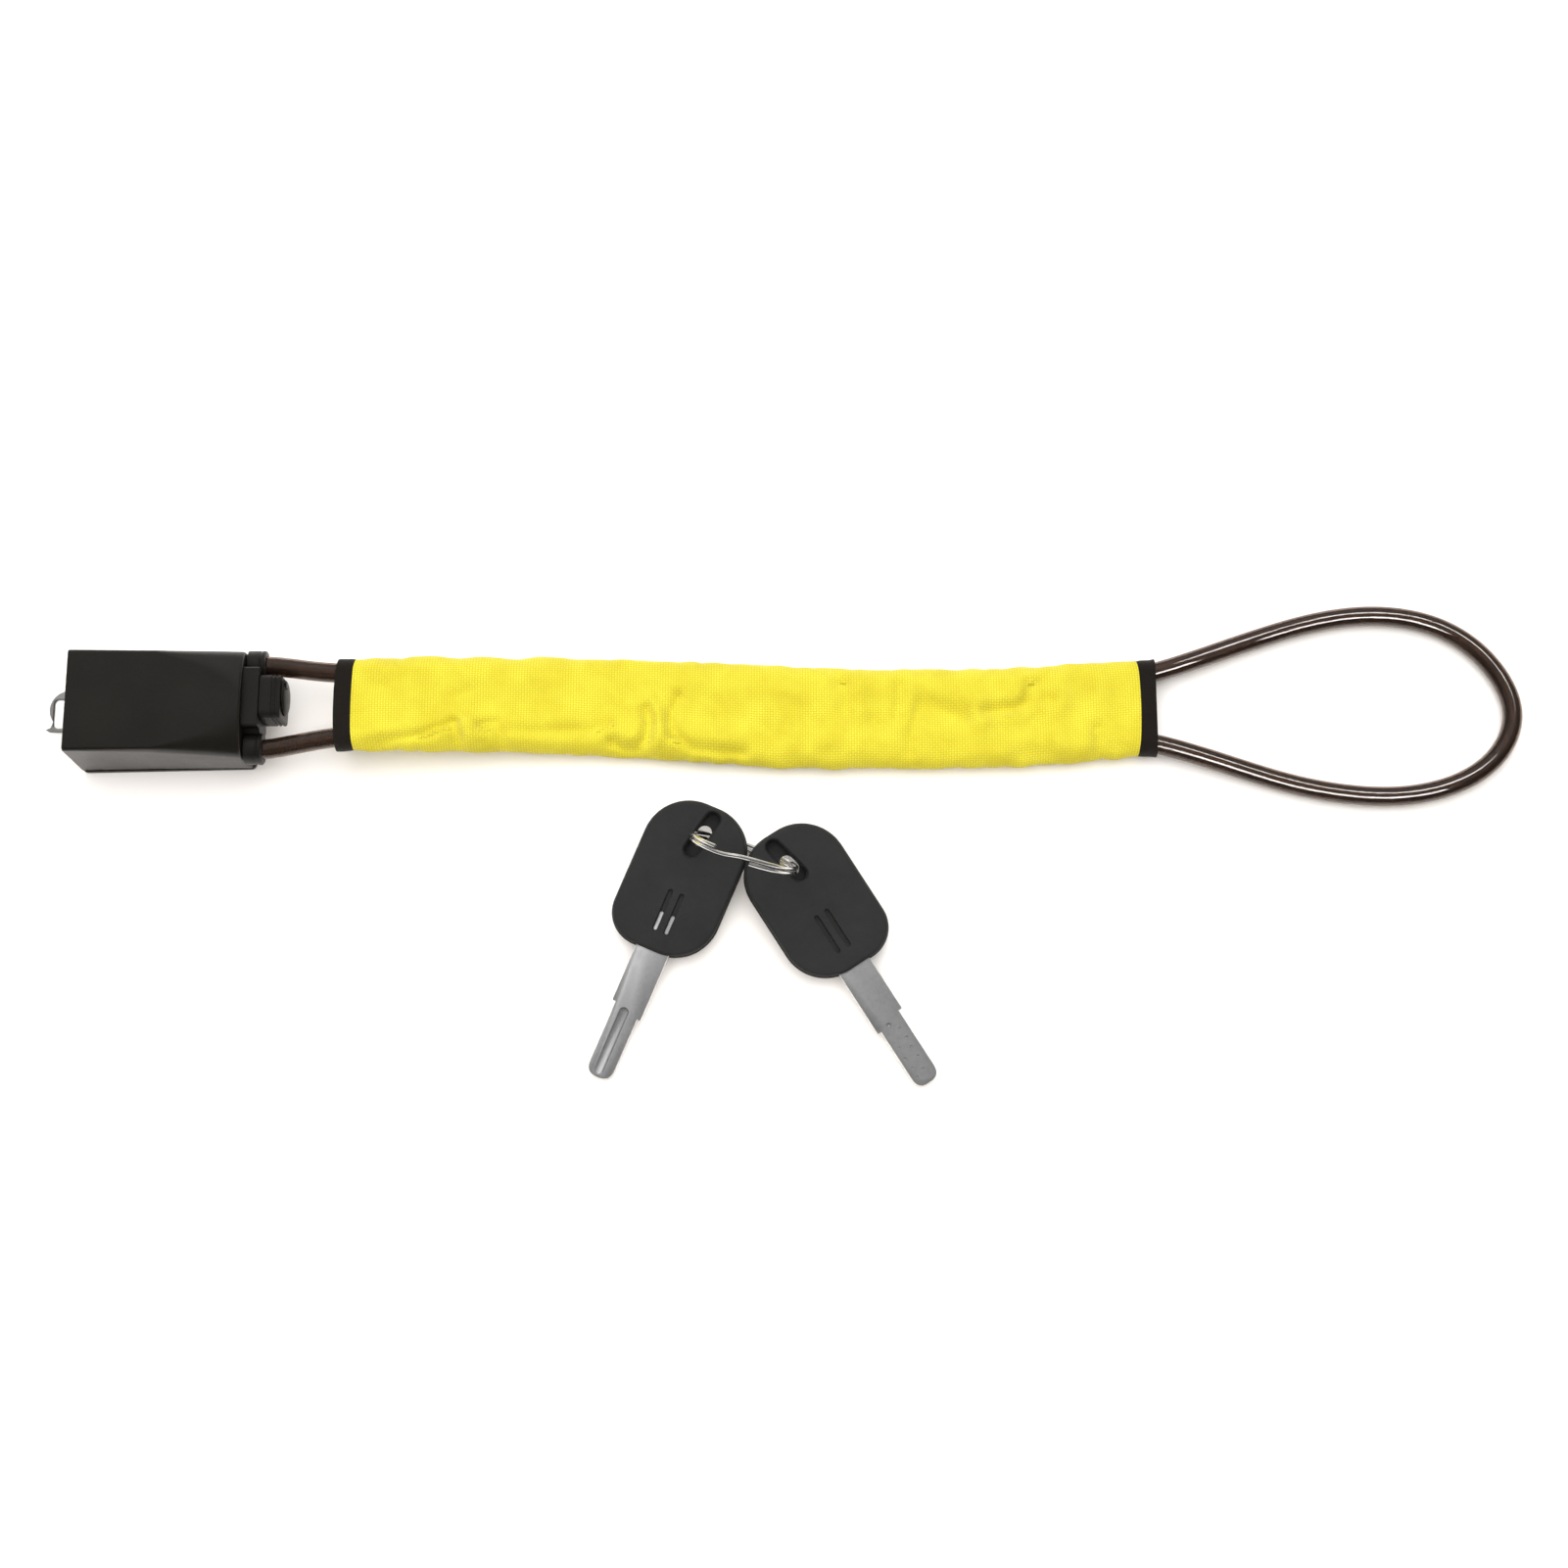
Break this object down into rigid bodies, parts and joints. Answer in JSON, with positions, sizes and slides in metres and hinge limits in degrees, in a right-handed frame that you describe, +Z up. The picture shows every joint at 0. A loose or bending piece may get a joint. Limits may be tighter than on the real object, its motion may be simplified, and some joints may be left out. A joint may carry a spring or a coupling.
{
  "type": "steering wheel lock",
  "caption": "Steering wheel lock: a black head with a belt tongue in its open mouth, a sleeved steel cable loop with a padded yellow cover, and keys on a split ring.",
  "frame": {"origin": "centre of the head's flat underside, which rests on the table", "axes": "+X from the head along the cable to its loop, +Y across the head away from the keys, +Z up out of the table"},
  "size_m": [0.632, 0.2071, 0.046],
  "materials": {
    "head_paint": "satin black powder coat on the pressed head",
    "base_paint": "satin black coat on the base plate",
    "steel": "bright zinc-plated steel",
    "zinc": "dull die-cast zinc",
    "brass": "turned brass",
    "black_plastic": "fine matte black moulding",
    "bow_plastic": "fine-textured black moulding",
    "rope_steel": "twisted steel strands",
    "smoked_pvc": "clear glossy jacket tinted dark brown",
    "yellow_webbing": "fine plain-woven yellow cloth",
    "black_binding": "black binding tape, stitched",
    "nickel": "nickel-plated steel"
  },
  "bodies": {
    "head": {"base_screw_1": "steel", "base_screw_2": "steel", "base_screw_3": "steel", "base_screw_4": "steel", "cable_collar_lower": "black_plastic", "cable_collar_upper": "black_plastic", "cable_ferrule_lower": "zinc", "cable_ferrule_upper": "zinc", "cable_jacket": "smoked_pvc", "cable_rope": "rope_steel", "cover_pivot_pin": "steel", "cylinder_boss": "black_plastic", "cylinder_grub_screw": "steel", "cylinder_shroud": "black_plastic", "ferrule_pin_lower": "steel", "ferrule_pin_upper": "steel", "head_base_plate": "base_paint", "head_housing": "head_paint", "lock_cylinder": "brass", "pusher_spring": "steel", "sleeve_binding_head_end": "black_binding", "sleeve_binding_loop_end": "black_binding", "sleeve_fabric": "yellow_webbing", "tongue_plate": "steel", "tongue_rivet_1": "steel", "tongue_rivet_2": "steel", "tongue_rivet_3": "steel", "tongue_rivet_4": "steel"},
    "plug": {"cylinder_plug": "brass", "drive_cam": "zinc", "cylinder_clip": "steel", "tumbler_wafer_1": "brass", "tumbler_wafer_2": "brass", "tumbler_wafer_3": "brass", "tumbler_wafer_4": "brass", "tumbler_wafer_5": "brass"},
    "pusher": {"release_pusher": "zinc"},
    "cover": {"keyway_cover": "black_plastic"},
    "key_ring": {"split_ring": "nickel"},
    "key_left": {"key_bow_left": "bow_plastic", "key_blade_left": "nickel"},
    "key_right": {"key_bow_right": "bow_plastic", "key_blade_right": "nickel"}
  },
  "joints": [
    {"name": "plug_turn", "type": "hinge", "parent": "head", "child": "plug", "pos_m": [0.03, 0.0025, 0.0225], "axis": [1, 0, 0], "range_deg": [0, 90], "stiffness_Nm_per_rad": 0.006, "springref_deg": -53.86},
    {"name": "release_push", "type": "slide", "parent": "head", "child": "pusher", "axis": [-1, 0, 0], "range_m": [0, 0.0051], "deforming": ["pusher_spring"]},
    {"name": "keyway_cover_swing", "type": "hinge", "parent": "head", "child": "cover", "pos_m": [0.053, 0.0082, 0.0282], "axis": [-1, 0, 0], "range_deg": [0, 110]},
    {"name": "keys_lift", "type": "slide", "parent": "head", "child": "key_ring", "axis": [0, 0, 1], "range_m": [0, 0.05]},
    {"name": "key_left_swing", "type": "hinge", "parent": "key_ring", "child": "key_left", "pos_m": [0.22872, -0.05326, 0.01322], "axis": [-0.041, -0.0952, 0.9946], "range_deg": [-30, 0]},
    {"name": "key_right_swing", "type": "hinge", "parent": "key_ring", "child": "key_right", "pos_m": [0.26683, -0.06671, 0.01322], "axis": [0.0583, -0.0898, 0.9943], "range_deg": [0, 30]}
  ],
  "couplings": [
    {"joint": "release_push", "follows": "plug_turn", "m_per_rad": 0.0031831}
  ]
}
